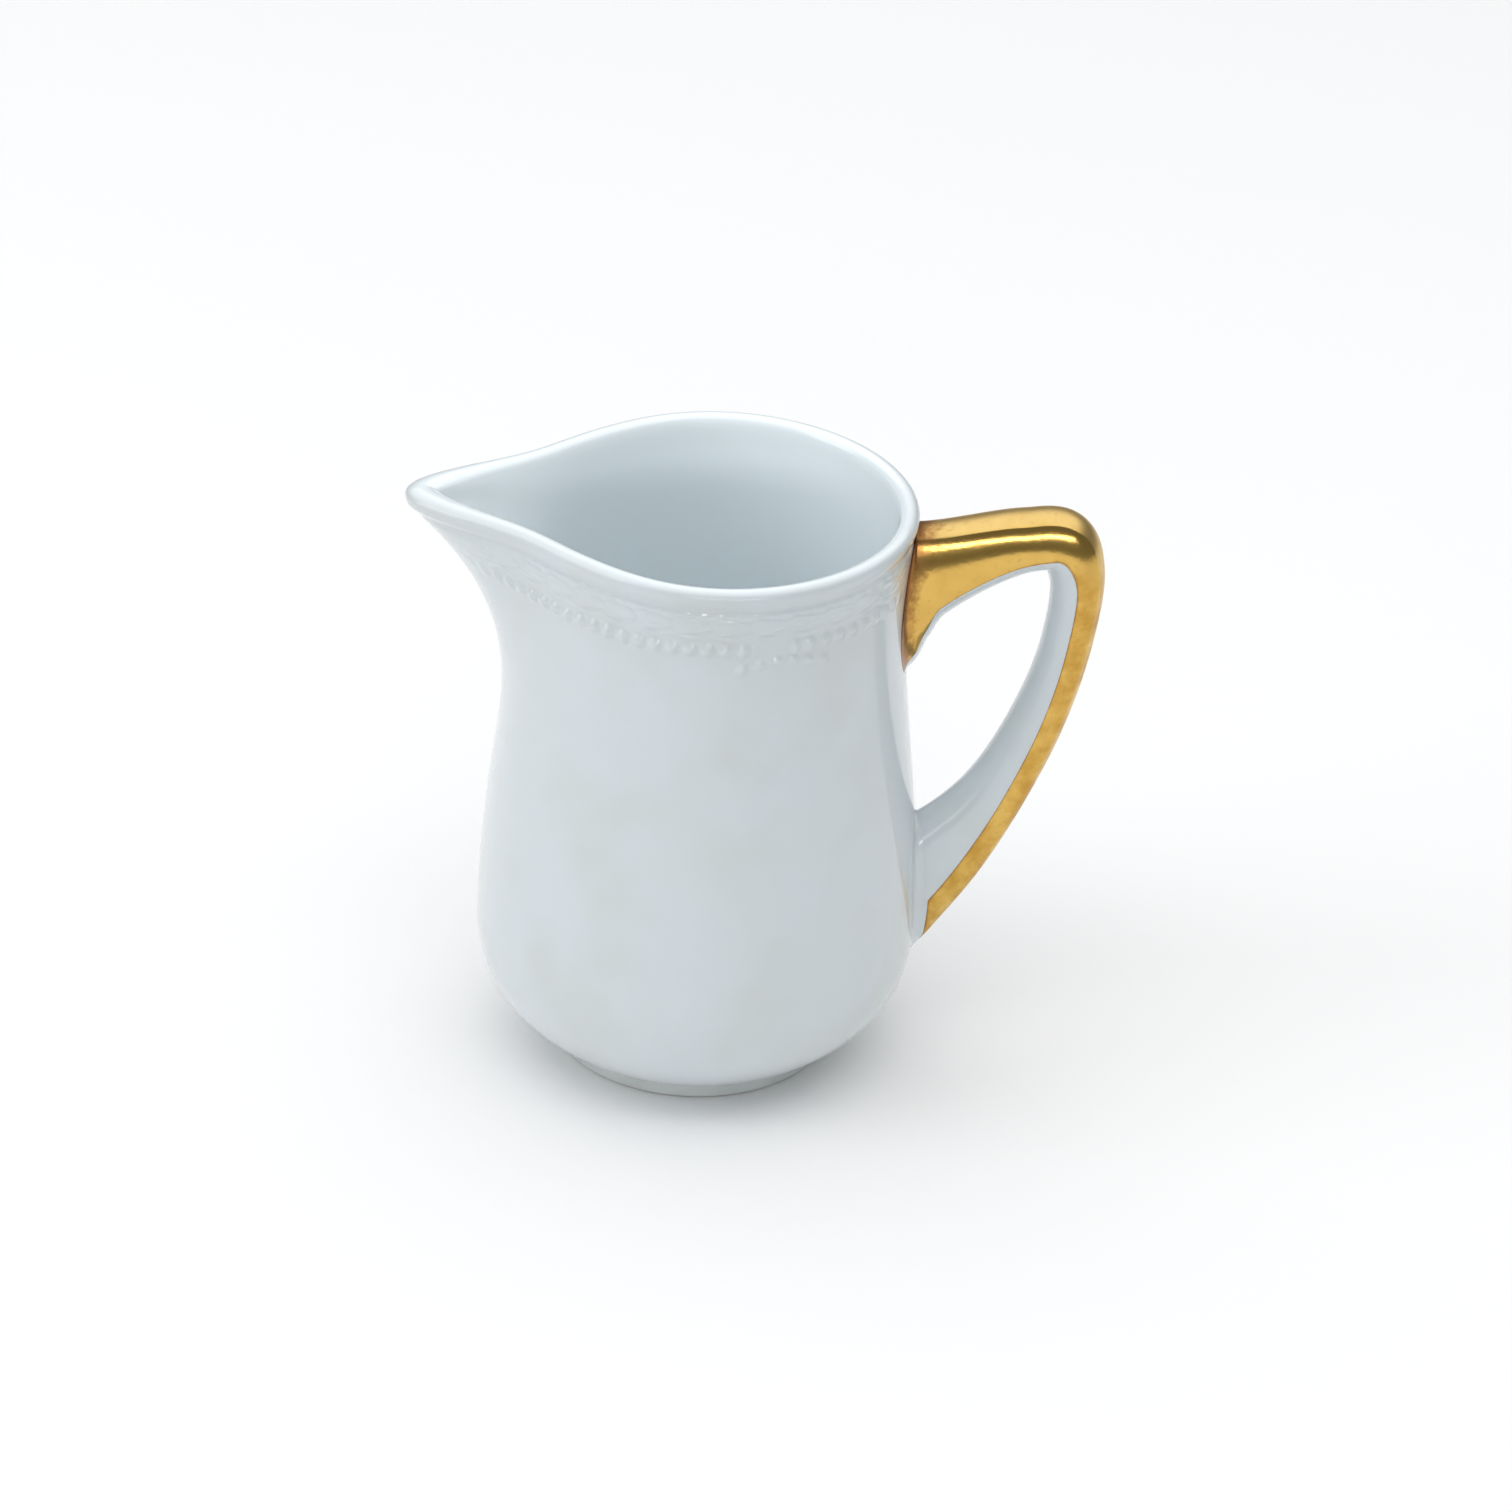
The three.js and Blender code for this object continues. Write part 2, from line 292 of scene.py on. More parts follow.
def porcelain_material(name):
    """White porcelain under a clear glaze, with faint cloudiness and slow waves in the glaze."""
    material, tree, shader = new_material(
        name, Coat_Weight=1.0, Coat_Roughness=0.03, Coat_IOR=1.5, IOR=1.45,
        Subsurface_Weight=0.12, Subsurface_Radius=(0.0015, 0.0013, 0.0011), Subsurface_Scale=1.0,
    )
    cloud = ramp(tree, noise(tree, 40.0, 2.0), 0.3, 0.7, 0.0, 1.0)
    colour = blend(tree, cloud, PORCELAIN, PORCELAIN_SHADE)
    stain = ramp(tree, noise(tree, 65.0, 2.0), 0.45, 0.70, 0.0, 1.0)
    colour = blend(tree, stain, colour, STAIN)
    # Painted light: this share paints the lip and the inside whiter, standing in for the light on
    # them.
    painted_light_share = attribute(tree, "painted_light_inside")
    tree.links.new(blend(tree, painted_light_share, colour, PAINTED_LIGHT_WHITE), shader.inputs["Base Color"])
    tree.links.new(ramp(tree, noise(tree, 60.0), 0.0, 1.0, 0.34, 0.42), shader.inputs["Roughness"])
    waves = calculate(tree, "ADD", noise(tree, 90.0, 1.0), calculate(
        tree, "MULTIPLY", noise(tree, 1200.0, 1.0), 0.02))
    add_bump(tree, shader, waves, 0.00006)
    return material


def foot_material():
    """Thinly glazed porcelain, greyer than the body, ground bare at the bearing edge."""
    material, tree, shader = new_material(
        "foot_porcelain", Coat_Weight=0.5, Coat_Roughness=0.12, Coat_IOR=1.5)
    cloud = ramp(tree, noise(tree, 160.0, 5.0), 0.3, 0.7, 0.0, 1.0)
    glazed = blend(tree, cloud, (0.70, 0.74, 0.73), (0.62, 0.66, 0.65))
    bare = blend(tree, noise(tree, 2500.0, 4.0), (0.58, 0.56, 0.50), (0.42, 0.40, 0.35))
    ground = attribute(tree, "ground")
    tree.links.new(blend(tree, ground, glazed, bare), shader.inputs["Base Color"])
    tree.links.new(ramp(tree, ground, 0.0, 1.0, 0.3, 0.85), shader.inputs["Roughness"])
    grain = calculate(tree, "MULTIPLY", noise(tree, 3000.0, 3.0), ground)
    add_bump(tree, shader, grain, 0.00006)
    return material


GOLD = (0.72, 0.46, 0.12)
# Painted sheen: a paler gold for the back of the handle, standing in for the light it reflects.
GOLD_PAINTED_SHEEN = (0.76, 0.54, 0.20)
GOLD_DEEP = (0.55, 0.31, 0.06)
# Painted shade: a brown that darkens the gold near the wall.
GOLD_WALL_SHADE = (0.42, 0.20, 0.06)
GOLD_BURNT = (0.22, 0.09, 0.035)


def gold_material():
    """Fired gold: bright on the flanks, satin along the back and painted paler there as sheen,
    blotched, burnt at its edges, and darkened near the wall as painted shade.
    """
    material, tree, shader = new_material("fired_gold", Metallic=1.0)
    satin_and_painted_sheen = attribute(tree, "satin_and_painted_sheen")
    edge = attribute(tree, "edge")
    blotch = ramp(tree, noise(tree, 260.0, 4.0, 0.6), 0.35, 0.65, 0.0, 1.0)
    # Painted sheen: the back is painted paler gold; the same share also makes it rougher.
    colour = blend(tree, satin_and_painted_sheen, GOLD, GOLD_PAINTED_SHEEN)
    worn = calculate(tree, "MULTIPLY", blotch, attribute(tree, "wear"))
    colour = blend(tree, worn, colour, GOLD_DEEP)
    speckle = calculate(tree, "SUBTRACT", noise(tree, 900.0, 5.0, 0.65), 0.5)
    # Painted shade: the gold darkens to a mottled brown near the wall, in the joint between handle
    # and body.
    near_wall = calculate(tree, "ADD", attribute(tree, "wall"), calculate(
        tree, "MULTIPLY", speckle, 1.6))
    painted_wall_shade = ramp(tree, near_wall, 0.25, 0.85, 0.9, 0.0)
    colour = blend(tree, painted_wall_shade, colour, GOLD_WALL_SHADE)
    ragged = calculate(tree, "ADD", edge, calculate(tree, "MULTIPLY", speckle, 0.7))
    burnt = ramp(tree, ragged, 0.0, 0.9, 1.0, 0.0)
    tree.links.new(blend(tree, burnt, colour, GOLD_BURNT), shader.inputs["Base Color"])
    rough_spots = calculate(tree, "MAXIMUM", worn, painted_wall_shade)
    dull = calculate(tree, "ADD", ramp(tree, satin_and_painted_sheen, 0.0, 1.0, 0.13, 0.36), calculate(
        tree, "MULTIPLY", rough_spots, 0.12))
    tree.links.new(dull, shader.inputs["Roughness"])
    brushing = calculate(tree, "ADD", noise(tree, 900.0, 3.0), calculate(
        tree, "MULTIPLY", noise(tree, 4000.0, 2.0), 0.3))
    add_bump(tree, shader, brushing, 0.000012)
    return material


# Body -------------------------------------------------------------------------------------

def body_curves():
    """The outside in half section, from the underside's edge to the lip."""
    start = np.array((BELLY_START_RADIUS, BELLY_START_HEIGHT))
    belly = np.array((BELLY_RADIUS, BELLY_HEIGHT))
    waist = np.array((WAIST_RADIUS, WAIST_HEIGHT))
    lip = np.array((LIP_OUTER_RADIUS, LIP_CENTRE_HEIGHT))
    rise = PULL_ABOVE_START * np.array((math.cos(BELLY_START_RISE), math.sin(BELLY_START_RISE)))
    return [
        (start, start + rise, belly - (0, PULL_BELOW_BELLY), belly),
        (belly, belly + (0, PULL_ABOVE_BELLY), waist - (0, PULL_BELOW_WAIST), waist),
        (waist, waist + (0, PULL_ABOVE_WAIST), lip - (LIP_FLARE, PULL_BELOW_LIP), lip),
    ]


outline_dense = np.concatenate([
    bezier(curve, np.linspace(0, 1, 2000))[0] for curve in body_curves()
])


def outside_radius(height):
    return np.interp(height, outline_dense[:, 1], outline_dense[:, 0])


def lip_shift(degrees):
    """How far the middle of the wall stands out at the lip, at an angle from the spout."""
    rounded = degrees ** 2 + SPOUT_TIP_ROUNDING ** 2
    beak = rounded ** (SPOUT_SHARPNESS / 2) / SPOUT_HALF_ANGLE ** SPOUT_SHARPNESS
    pinch = ((degrees - PINCH_ANGLE) / PINCH_SPREAD) ** 2
    return SPOUT_REACH * np.exp(-beak) - PINCH_DEPTH * np.exp(-pinch)


def tip_thickening(degrees):
    """The wall is thicker at the spout's tip, all of it added inside."""
    return TIP_THICKENING * bump(degrees, TIP_THICKENING_SPREAD)


def spout_fade(height):
    rise = (height - SPOUT_ROOT_HEIGHT) / (SPOUT_FULL_HEIGHT - SPOUT_ROOT_HEIGHT)
    return np.clip(rise, 0.0, 1.0) ** SPOUT_FADE_POWER


def wall_middle(height, angle):
    """Radius of the middle of the wall; angle is in radians from the spout."""
    middle = outside_radius(np.minimum(height, LIP_CENTRE_HEIGHT)) - WALL / 2
    degrees = np.degrees(np.abs((angle + np.pi) % (2 * np.pi) - np.pi))
    return middle + spout_fade(height) * lip_shift(degrees)


def wall_place(height, angle, offset):
    """A point off the middle of the wall along its own normal, and that normal."""
    step = 1e-4
    radius = wall_middle(height, angle)
    slope = (wall_middle(height, angle + step) - wall_middle(height, angle - step)) / (2 * step)
    tangent_x = slope * np.cos(angle) - radius * np.sin(angle)
    tangent_y = slope * np.sin(angle) + radius * np.cos(angle)
    length = np.hypot(tangent_x, tangent_y)
    normal = np.stack([tangent_y / length, -tangent_x / length], axis=-1)
    middle = np.stack([radius * np.cos(angle), radius * np.sin(angle)], axis=-1)
    return middle + normal * offset[..., None], normal


def relief(height, along, degrees):
    """Height of the moulded border above the wall; along is measured around the wall."""
    raised = np.zeros(np.broadcast(height, along).shape)

    # Lobes tucked under the lip.
    turn = np.cos(2 * np.pi * along / LOBE_PITCH)
    raised += LOBE_RISE * (0.55 + 0.45 * turn) * bump(height - LOBE_HEIGHT, 0.00055)

    # Overlapping leaves, each with a raised rim and a vein.
    length = (along / LEAF_PITCH) % 1.0
    across = (height - LEAF_HEIGHT) / LEAF_HALF_WIDTH
    base = np.sqrt(np.clip(1 - (1 - length / 0.22) ** 2, 0, 1))
    width = np.where(length < 0.22, base, 1 - 0.45 * ((length - 0.22) / 0.78) ** 1.6)
    inside = smoothstep(0.0, 0.3, width - np.abs(across))
    slope = 0.00011 * (1.0 - 0.55 * length)
    rim = 0.00011 * bump(np.abs(across) - 0.72 * width, 0.24)
    vein = 0.00009 * bump(across + 0.15, 0.19) * smoothstep(0.25, 0.55, length)
    raised += inside * (slope + rim + vein)

    # A cord made of strokes that swell and thin.
    swell = 0.62 + 0.38 * np.sin(2 * np.pi * length - 0.6)
    wander = 0.00016 * np.sin(2 * np.pi * length + 0.9)
    raised += CORD_RISE * swell * bump(height - CORD_HEIGHT - wander, 0.00036)

    # Pearls, left out over the bow, where smaller drops hang lower in a gentle wave.
    bow_from, bow_to = BOW_ANGLES
    in_bow = smoothstep(bow_from, bow_from + 1.5, degrees)
    in_bow = in_bow * (1 - smoothstep(bow_to - 1.5, bow_to, degrees))
    nearest = (np.floor(along / PEARL_PITCH) + 0.5) * PEARL_PITCH
    away = np.hypot(along - nearest, height - PEARL_HEIGHT) / PEARL_RADIUS
    dome = np.clip(1 - away ** 2, 0, 1) ** 2
    raised += PEARL_RISE * (1 - in_bow) * dome
    hung_from, hung_to = DROP_ANGLES
    hung = smoothstep(hung_from, hung_from + 1.0, degrees)
    hung = hung * (1 - smoothstep(hung_to - 1.0, hung_to, degrees))
    sway = 0.0006 * np.cos(np.radians(degrees - 112.0) * 12.0)
    away = np.hypot(along - nearest, height - DROP_HEIGHT - sway) / (0.8 * PEARL_RADIUS)
    raised += DROP_RISE * hung * np.clip(1 - away ** 2, 0, 1) ** 2

    # The border fades out before the spout's tip and before the handle.
    ends = smoothstep(5.0, 16.0, degrees) * (1 - smoothstep(150.0, 166.0, degrees))
    return raised * ends


def body_rows():
    """Height, offset from the wall's middle and plain radius of each row, outside first."""
    half = WALL / 2
    curves = body_curves()
    belly, belly_slope = bezier(curves[0], np.linspace(0, 1, 20))
    flank, flank_slope = bezier(curves[1], np.linspace(0, 1, 32)[1:])
    neck_heights = np.concatenate([
        np.linspace(WAIST_HEIGHT, 0.0814, 4)[1:],
        np.linspace(0.0814, 0.0934, 72)[1:],
        np.linspace(0.0934, LIP_CENTRE_HEIGHT, 5)[1:],
    ])
    neck = np.stack([outside_radius(neck_heights), neck_heights], axis=-1)
    outside = np.concatenate([belly, flank, neck])
    lip_turns = np.linspace(0, np.pi, 15)[1:-1]
    inner_curves = [bezier(curve, np.linspace(0, 1, count))
                    for curve, count in zip(curves, (14, 20, 10))]
    inside = np.concatenate([
        points + WALL * np.stack([-slopes[:, 1], slopes[:, 0]], axis=-1)
        for points, slopes in inner_curves
    ])
    inside = np.delete(inside, (14, 34), axis=0)[::-1]
    heights = np.concatenate([
        outside[:, 1], LIP_CENTRE_HEIGHT + half * np.sin(lip_turns), inside[:, 1]])
    lip_middle = LIP_OUTER_RADIUS - half
    offsets = np.concatenate([
        np.full(len(outside), half),
        half * np.cos(lip_turns),
        inside[:, 0] - (outside_radius(np.minimum(inside[:, 1], LIP_CENTRE_HEIGHT)) - half),
    ])
    radii = np.concatenate([outside[:, 0], lip_middle + half * np.cos(lip_turns), inside[:, 0]])
    # How much of the tip's thickening each row takes: none outside, all inside.
    thickening = np.concatenate([
        np.zeros(len(outside)), (1 - np.cos(lip_turns)) / 2, np.ones(len(inside))])
    return heights, offsets, thickening, radii, len(outside)


def around_wall(angle):
    """The distance around the wall from the spout's tip, at the height of the pearls."""
    ring, _ = wall_place(np.full_like(angle, PEARL_HEIGHT), angle, np.full_like(angle, WALL / 2))
    steps = np.linalg.norm(np.diff(ring, axis=0), axis=1)
    travelled = np.concatenate([[0], np.cumsum(steps)])
    return np.abs(travelled - np.interp(0.0, angle, travelled))


def make_body(material):
    """One closed shell: underside, outer wall with its border, lip, inner wall and floor."""
    heights, offsets, thickening, radii, outside_count = body_rows()
    turn = np.linspace(-np.pi, np.pi, BODY_COLUMNS, endpoint=False)
    angle = turn - SEGMENT_CROWDING * np.sin(turn)
    height_grid, angle_grid = np.meshgrid(heights, angle, indexing="ij")
    inwards = thickening[:, None] * spout_fade(height_grid) * tip_thickening(
        np.degrees(np.abs(angle_grid)))
    offset_grid = offsets[:, None] - inwards
    flat, normal = wall_place(height_grid, angle_grid, offset_grid)

    # Rows under the spout are plain circles, where the wall's middle says nothing.
    round_part = spout_fade(height_grid) == 0
    circle = radii[:, None, None] * np.stack([np.cos(angle_grid), np.sin(angle_grid)], axis=-1)
    flat = np.where(round_part[..., None], circle, flat)

    degrees = np.degrees(np.abs(angle))
    outside_heights = heights[:outside_count, None]
    raised = relief(outside_heights, around_wall(angle)[None, :], degrees[None, :])
    groove = -GROOVE_DEPTH * bump(outside_heights - GROOVE_HEIGHT, GROOVE_WIDTH)
    bead = LIP_BEAD * smoothstep(GROOVE_HEIGHT, LIP_CENTRE_HEIGHT, heights) * (1 - thickening)
    flat[:outside_count] += normal[:outside_count] * (raised + groove)[..., None]
    flat += normal * bead[:, None, None]

    # The underside and the inner floor each close on a ring and a middle point.
    points = np.stack([AXIS_X - flat[..., 0], flat[..., 1], height_grid], axis=-1)
    underside = np.stack([
        np.full(1, AXIS_X), np.zeros(1), np.full(1, UNDERSIDE_HEIGHT)], axis=-1)
    edge = points[0].copy()
    edge[:, 2] = UNDERSIDE_HEIGHT
    edge[:, :2] = (AXIS_X, 0) + (edge[:, :2] - (AXIS_X, 0)) * 0.925
    floor = np.array([[AXIS_X, 0.0, points[-1, 0, 2]]])
    near_floor = points[-1].copy()
    near_floor[:, :2] = (AXIS_X, 0) + (near_floor[:, :2] - (AXIS_X, 0)) * 0.5
    all_points = np.concatenate([
        edge[None], points, near_floor[None]]).reshape(-1, 3)
    rows = len(heights) + 2
    faces = grid_faces(rows, BODY_COLUMNS)[:, ::-1].tolist()
    middle = len(all_points)
    last_row = (rows - 1) * BODY_COLUMNS
    all_points = np.concatenate([all_points, underside, floor])
    for column in range(BODY_COLUMNS):
        following = (column + 1) % BODY_COLUMNS
        faces.append([middle, column, following])
        faces.append([middle + 1, last_row + following, last_row + column])
    # Painted light: the lip and the inside are painted whiter, standing in for the light that
    # falls on them.
    row_painted_light = np.concatenate([[0.0], smoothstep(0.0, 0.6, thickening), [1.0]])
    painted_light_inside = np.concatenate([np.repeat(row_painted_light, BODY_COLUMNS), [0.0, 1.0]])
    piece = make_piece("body", all_points, faces, material, {"painted_light_inside": painted_light_inside})
    dress(piece, "body_casting")


# Foot -------------------------------------------------------------------------------------

def make_foot(material):
    """A turned ring: a fillet into the body, a rounded lower edge and a ground bearing face."""
    outer, inner = FOOT_OUTER_RADIUS, FOOT_INNER_RADIUS
    profile = np.array([
        (outer + 0.0008, 0.00300), (outer + 0.0003, 0.00245), (outer, 0.00190),
        (outer, 0.00055), (outer - 0.00012, 0.00022), (outer - 0.0004, 0.00004),
        (outer - 0.0007, 0.0), (inner + 0.0007, 0.0), (inner + 0.0004, 0.00004),
        (inner + 0.00012, 0.00022), (inner, 0.00055), (inner, 0.00160),
        (inner - 0.0003, 0.00215), (inner - 0.0009, 0.00250),
    ])
    columns = 240
    angle = np.linspace(0, 2 * np.pi, columns, endpoint=False)
    points = np.stack([
        AXIS_X + profile[:, :1] * np.cos(angle),
        profile[:, :1] * np.sin(angle),
        np.broadcast_to(profile[:, 1:], (len(profile), columns)),
    ], axis=-1)
    faces = grid_faces(len(profile), columns)
    top = np.stack([
        (len(profile) - 1) * columns + np.arange(columns),
        (len(profile) - 1) * columns + (np.arange(columns) + 1) % columns,
        (np.arange(columns) + 1) % columns, np.arange(columns)], axis=-1)
    ground = 1 - smoothstep(0.00005, 0.0003, points[..., 2])
    piece = make_piece("foot", points, np.concatenate([faces, top])[:, ::-1], material,
                       {"ground": ground})
    dress(piece, "foot_ring")


# Handle -----------------------------------------------------------------------------------

def handle_spine(share):
    """Station values at a share of the loop, on a centripetal Catmull-Rom curve."""
    stations = HANDLE_STATIONS
    last = len(stations) - 1
    place = np.clip(share, 0, 1) * last
    index = np.minimum(place.astype(int), last - 1)
    weight = (place - index)[..., None]
    padded = np.concatenate([
        [2 * stations[0] - stations[1]], stations, [2 * stations[-1] - stations[-2]]])
    before, start, end, after = [padded[index + step] for step in range(4)]

    def spacing(a, b):
        return np.linalg.norm((b - a)[..., :2], axis=-1, keepdims=True) ** 0.5

    gap_in, gap, gap_out = spacing(before, start), spacing(start, end), spacing(end, after)
    leaving = ((start - before) / gap_in - (end - before) / (gap_in + gap)
               + (end - start) / gap) * gap
    arriving = ((end - start) / gap - (after - start) / (gap + gap_out)
                + (after - end) / gap_out) * gap
    return (start + leaving * weight
            + (-3 * start + 3 * end - 2 * leaving - arriving) * weight ** 2
            + (2 * start - 2 * end + leaving + arriving) * weight ** 3)


def at_station(number):
    """The share of the loop at a station, counted from 0."""
    return number / (len(HANDLE_STATIONS) - 1)


def half_width(share):
    """Half the handle's width, flared where it meets the wall."""
    upper_flare = bump(share - at_station(1.2), at_station(1.1))
    lower_flare = bump(share - at_station(11.3), at_station(0.6))
    return HANDLE_HALF_WIDTH * (1 + ROOT_FLARE * (upper_flare + 0.5 * lower_flare))


def section_levels(share):
    """Across the loop: the back, the height of greatest width, and the oval above and below.

    On the upper branch the oval is widest below its middle, so the flank leans out under the
    back. The inside is taken in a little at the bend, where the loop turns tightly.
    """
    half_depth = handle_spine(share)[..., 2]
    on_branch = 1 - smoothstep(at_station(4.5), at_station(6.2), share)
    back = half_depth - 0.00035 * on_branch
    inner = half_depth + lerp(0.0001, 0.0005, on_branch)
    inner -= 0.0013 * bump(share - at_station(4.95), at_station(0.7))
    widest = -0.36 * half_depth * on_branch
    above = lerp(half_depth + 0.0012, 1.62 * half_depth, on_branch)
    return back, widest, above, inner + widest


def handle_point(share, turn):
    """A point on the handle's plain sweep; turn 0 is the middle of its back."""
    step = 1e-4
    station = handle_spine(share)
    tangent = unit((handle_spine(np.minimum(share + step, 1.0))
                    - handle_spine(np.maximum(share - step, 0.0)))[..., :2])
    back, widest, above, below = section_levels(share)
    oval = widest + np.where(np.cos(turn) > 0, above, below) * np.cos(turn)
    crown = back - BACK_CROWN * np.sin(turn) ** 2
    softened = (oval + crown - np.hypot(oval - crown, CREASE_SOFTNESS)) / 2
    across = np.where(np.cos(turn) > 0, softened, oval)
    sideways = -half_width(share) * np.sin(turn)
    return np.stack(np.broadcast_arrays(
        station[..., 0] - tangent[..., 1] * across,
        sideways,
        station[..., 1] + tangent[..., 0] * across,
    ), axis=-1)


def above_wall(points):
    """Distance of points beyond the body's outside, measured along the radius."""
    return np.hypot(points[..., 0], points[..., 1]) - outside_radius(points[..., 2])


def onto_wall(points):
    """Points moved along the radius onto the body's outside."""
    radius = np.hypot(points[..., 0], points[..., 1])
    scale = outside_radius(points[..., 2]) / radius
    return points * np.stack([scale, scale, np.ones_like(scale)], axis=-1)


def meet_wall(turns, distance, at_top):
    """The share of the loop where each line along the handle is a distance off the wall."""
    shares = np.linspace(0, 0.5, 1500) if at_top else np.linspace(1, 0.5, 1500)
    height = above_wall(handle_point(shares[:, None], turns[None, :])) - distance
    first = np.maximum(np.argmax(height > 0, axis=0), 1)
    column = np.arange(len(turns))
    low, high = height[first - 1, column], height[first, column]
    return lerp(shares[first - 1], shares[first], -low / (high - low))


DENSE_TURNS = np.linspace(-np.pi, np.pi, 241)


# The slips' fillets are widest on the handle's flanks.
FLANK = smoothstep(0.0, 1.0, np.abs(np.sin(DENSE_TURNS)))
UPPER_WIDTH = 0.0003 + UPPER_FILLET * FLANK * lerp(0.15, 1.0, (1 - np.cos(DENSE_TURNS)) / 2)
LOWER_WIDTH = 0.0003 + LOWER_FILLET * FLANK
UPPER_WALL_SHARE = meet_wall(DENSE_TURNS, 0.0, True)
LOWER_WALL_SHARE = meet_wall(DENSE_TURNS, 0.0, False)
UPPER_START_SHARE = np.array([
    meet_wall(np.array([turn]), width, True)[0] for turn, width in zip(DENSE_TURNS, UPPER_WIDTH)])
LOWER_START_SHARE = np.array([
    meet_wall(np.array([turn]), width, False)[0] for turn, width in zip(DENSE_TURNS, LOWER_WIDTH)])


def footprint(at_top):
    """Where the handle meets the wall, and the outer edge of the slip around it."""
    shares = UPPER_WALL_SHARE if at_top else LOWER_WALL_SHARE
    width = UPPER_WIDTH if at_top else LOWER_WIDTH
    meeting = handle_point(shares, DENSE_TURNS)
    around = unit(np.gradient(meeting, axis=0))
    around[0] = around[-1] = unit(meeting[1] - meeting[-2])
    wall_normal = unit(meeting * (1, 1, 0))
    outwards = np.cross(around, wall_normal)
    outwards *= np.sign(np.sum(outwards * (meeting - meeting[:-1].mean(axis=0)), axis=-1))[:, None]
    return meeting, onto_wall(meeting + unit(outwards) * width[:, None])


UPPER_MEETING, UPPER_EDGE = footprint(True)
LOWER_MEETING, LOWER_EDGE = footprint(False)


def wrap(turns):
    """Turns brought into -pi..pi."""
    return (turns + np.pi) % (2 * np.pi) - np.pi


def look_up(turns, values):
    """Values tabulated over DENSE_TURNS, at any turns."""
    if values.ndim == 1:
        return np.interp(turns, DENSE_TURNS, values)
    return np.stack([np.interp(turns, DENSE_TURNS, values[:, axis]) for axis in range(3)], axis=-1)


def handle_surface(progress, turns):
    """The whole handle: -1..0 is the upper slip, 0..1 the casting, 1..2 the lower slip."""
    turns = wrap(turns)
    share = lerp(look_up(turns, UPPER_START_SHARE), look_up(turns, LOWER_START_SHARE),
                 np.clip(progress, 0, 1))
    casting = handle_point(share, turns)

    def slip(amount, meeting, edge):
        bend = look_up(turns, meeting)
        out = look_up(turns, edge)
        t = np.clip(amount, 0, 1)[..., None]
        return (1 - t) ** 2 * casting + 2 * t * (1 - t) * bend + t ** 2 * out

    upper = slip(-progress, UPPER_MEETING, UPPER_EDGE)
    lower = slip(progress - 1, LOWER_MEETING, LOWER_EDGE)
    is_upper = (progress < 0)[..., None]
    is_lower = (progress > 1)[..., None]
    points = np.where(is_upper, upper, np.where(is_lower, lower, casting))
    return points + (AXIS_X, 0, 0)


def surface_normals(progress, turns):
    """Outward normals of the handle's surface, by small steps along and around it."""
    step = 2e-3
    along = handle_surface(progress + step, turns) - handle_surface(progress - step, turns)
    around = handle_surface(progress, turns + step) - handle_surface(progress, turns - step)
    return unit(np.cross(around, along))


def wall_cap(ring):
    """Rings that close a slip along the wall, shrinking to the middle of its footprint."""
    middle = ring.mean(axis=0)
    shrunk = [middle + (ring - middle) * size for size in (0.8, 0.6, 0.4, 0.2, 0.01)]
    from_axis = np.stack(shrunk) - (AXIS_X, 0, 0)
    return onto_wall(from_axis) + (AXIS_X, 0, 0), -unit(from_axis * (1, 1, 0))


def sweep_piece(name, progress_rows, material, node, columns=96):
    """A closed piece of the handle's surface; an end on the wall is closed along the wall."""
    turn = np.linspace(-np.pi, np.pi, columns, endpoint=False)
    progress, turns = np.meshgrid(progress_rows, turn, indexing="ij")
    points = handle_surface(progress, turns)
    normals = surface_normals(progress, turns)
    if progress_rows[0] == -1:
        cap, cap_normals = wall_cap(points[0])
        points = np.concatenate([cap[::-1], points])
        normals = np.concatenate([cap_normals[::-1], normals])
    if progress_rows[-1] == 2:
        cap, cap_normals = wall_cap(points[-1])
        points = np.concatenate([points, cap])
        normals = np.concatenate([normals, cap_normals])
    faces = grid_faces(len(points), columns).tolist()
    last = (len(points) - 1) * columns
    faces.append(list(range(columns - 1, -1, -1)))
    faces.append([last + column for column in range(columns)])
    piece = make_piece(name, points, faces, material, normals=normals)
    dress(piece, node)


def gilding_reach(share):
    """How far around the handle the gold goes, from the middle of its back."""
    back, widest, above, below = section_levels(share)
    bare = lerp(0.0009, 0.0025, smoothstep(at_station(1.0), at_station(4.4), share))
    descent = smoothstep(at_station(4.3), at_station(6.5), share)
    edge = lerp(widest - below + bare, back - GOLD_BAND, descent)
    return np.arccos(np.clip((edge - widest) / np.where(edge > widest, above, below), -0.998, 1))


def gilding_border(rows, columns):
    """The outline of a grid of vertices, once round, so that a skin can be closed along it."""
    return ([row * columns for row in range(rows)]
            + [(rows - 1) * columns + column for column in range(1, columns)]
            + [row * columns + columns - 1 for row in range(rows - 2, -1, -1)]
            + [column for column in range(columns - 2, 0, -1)])


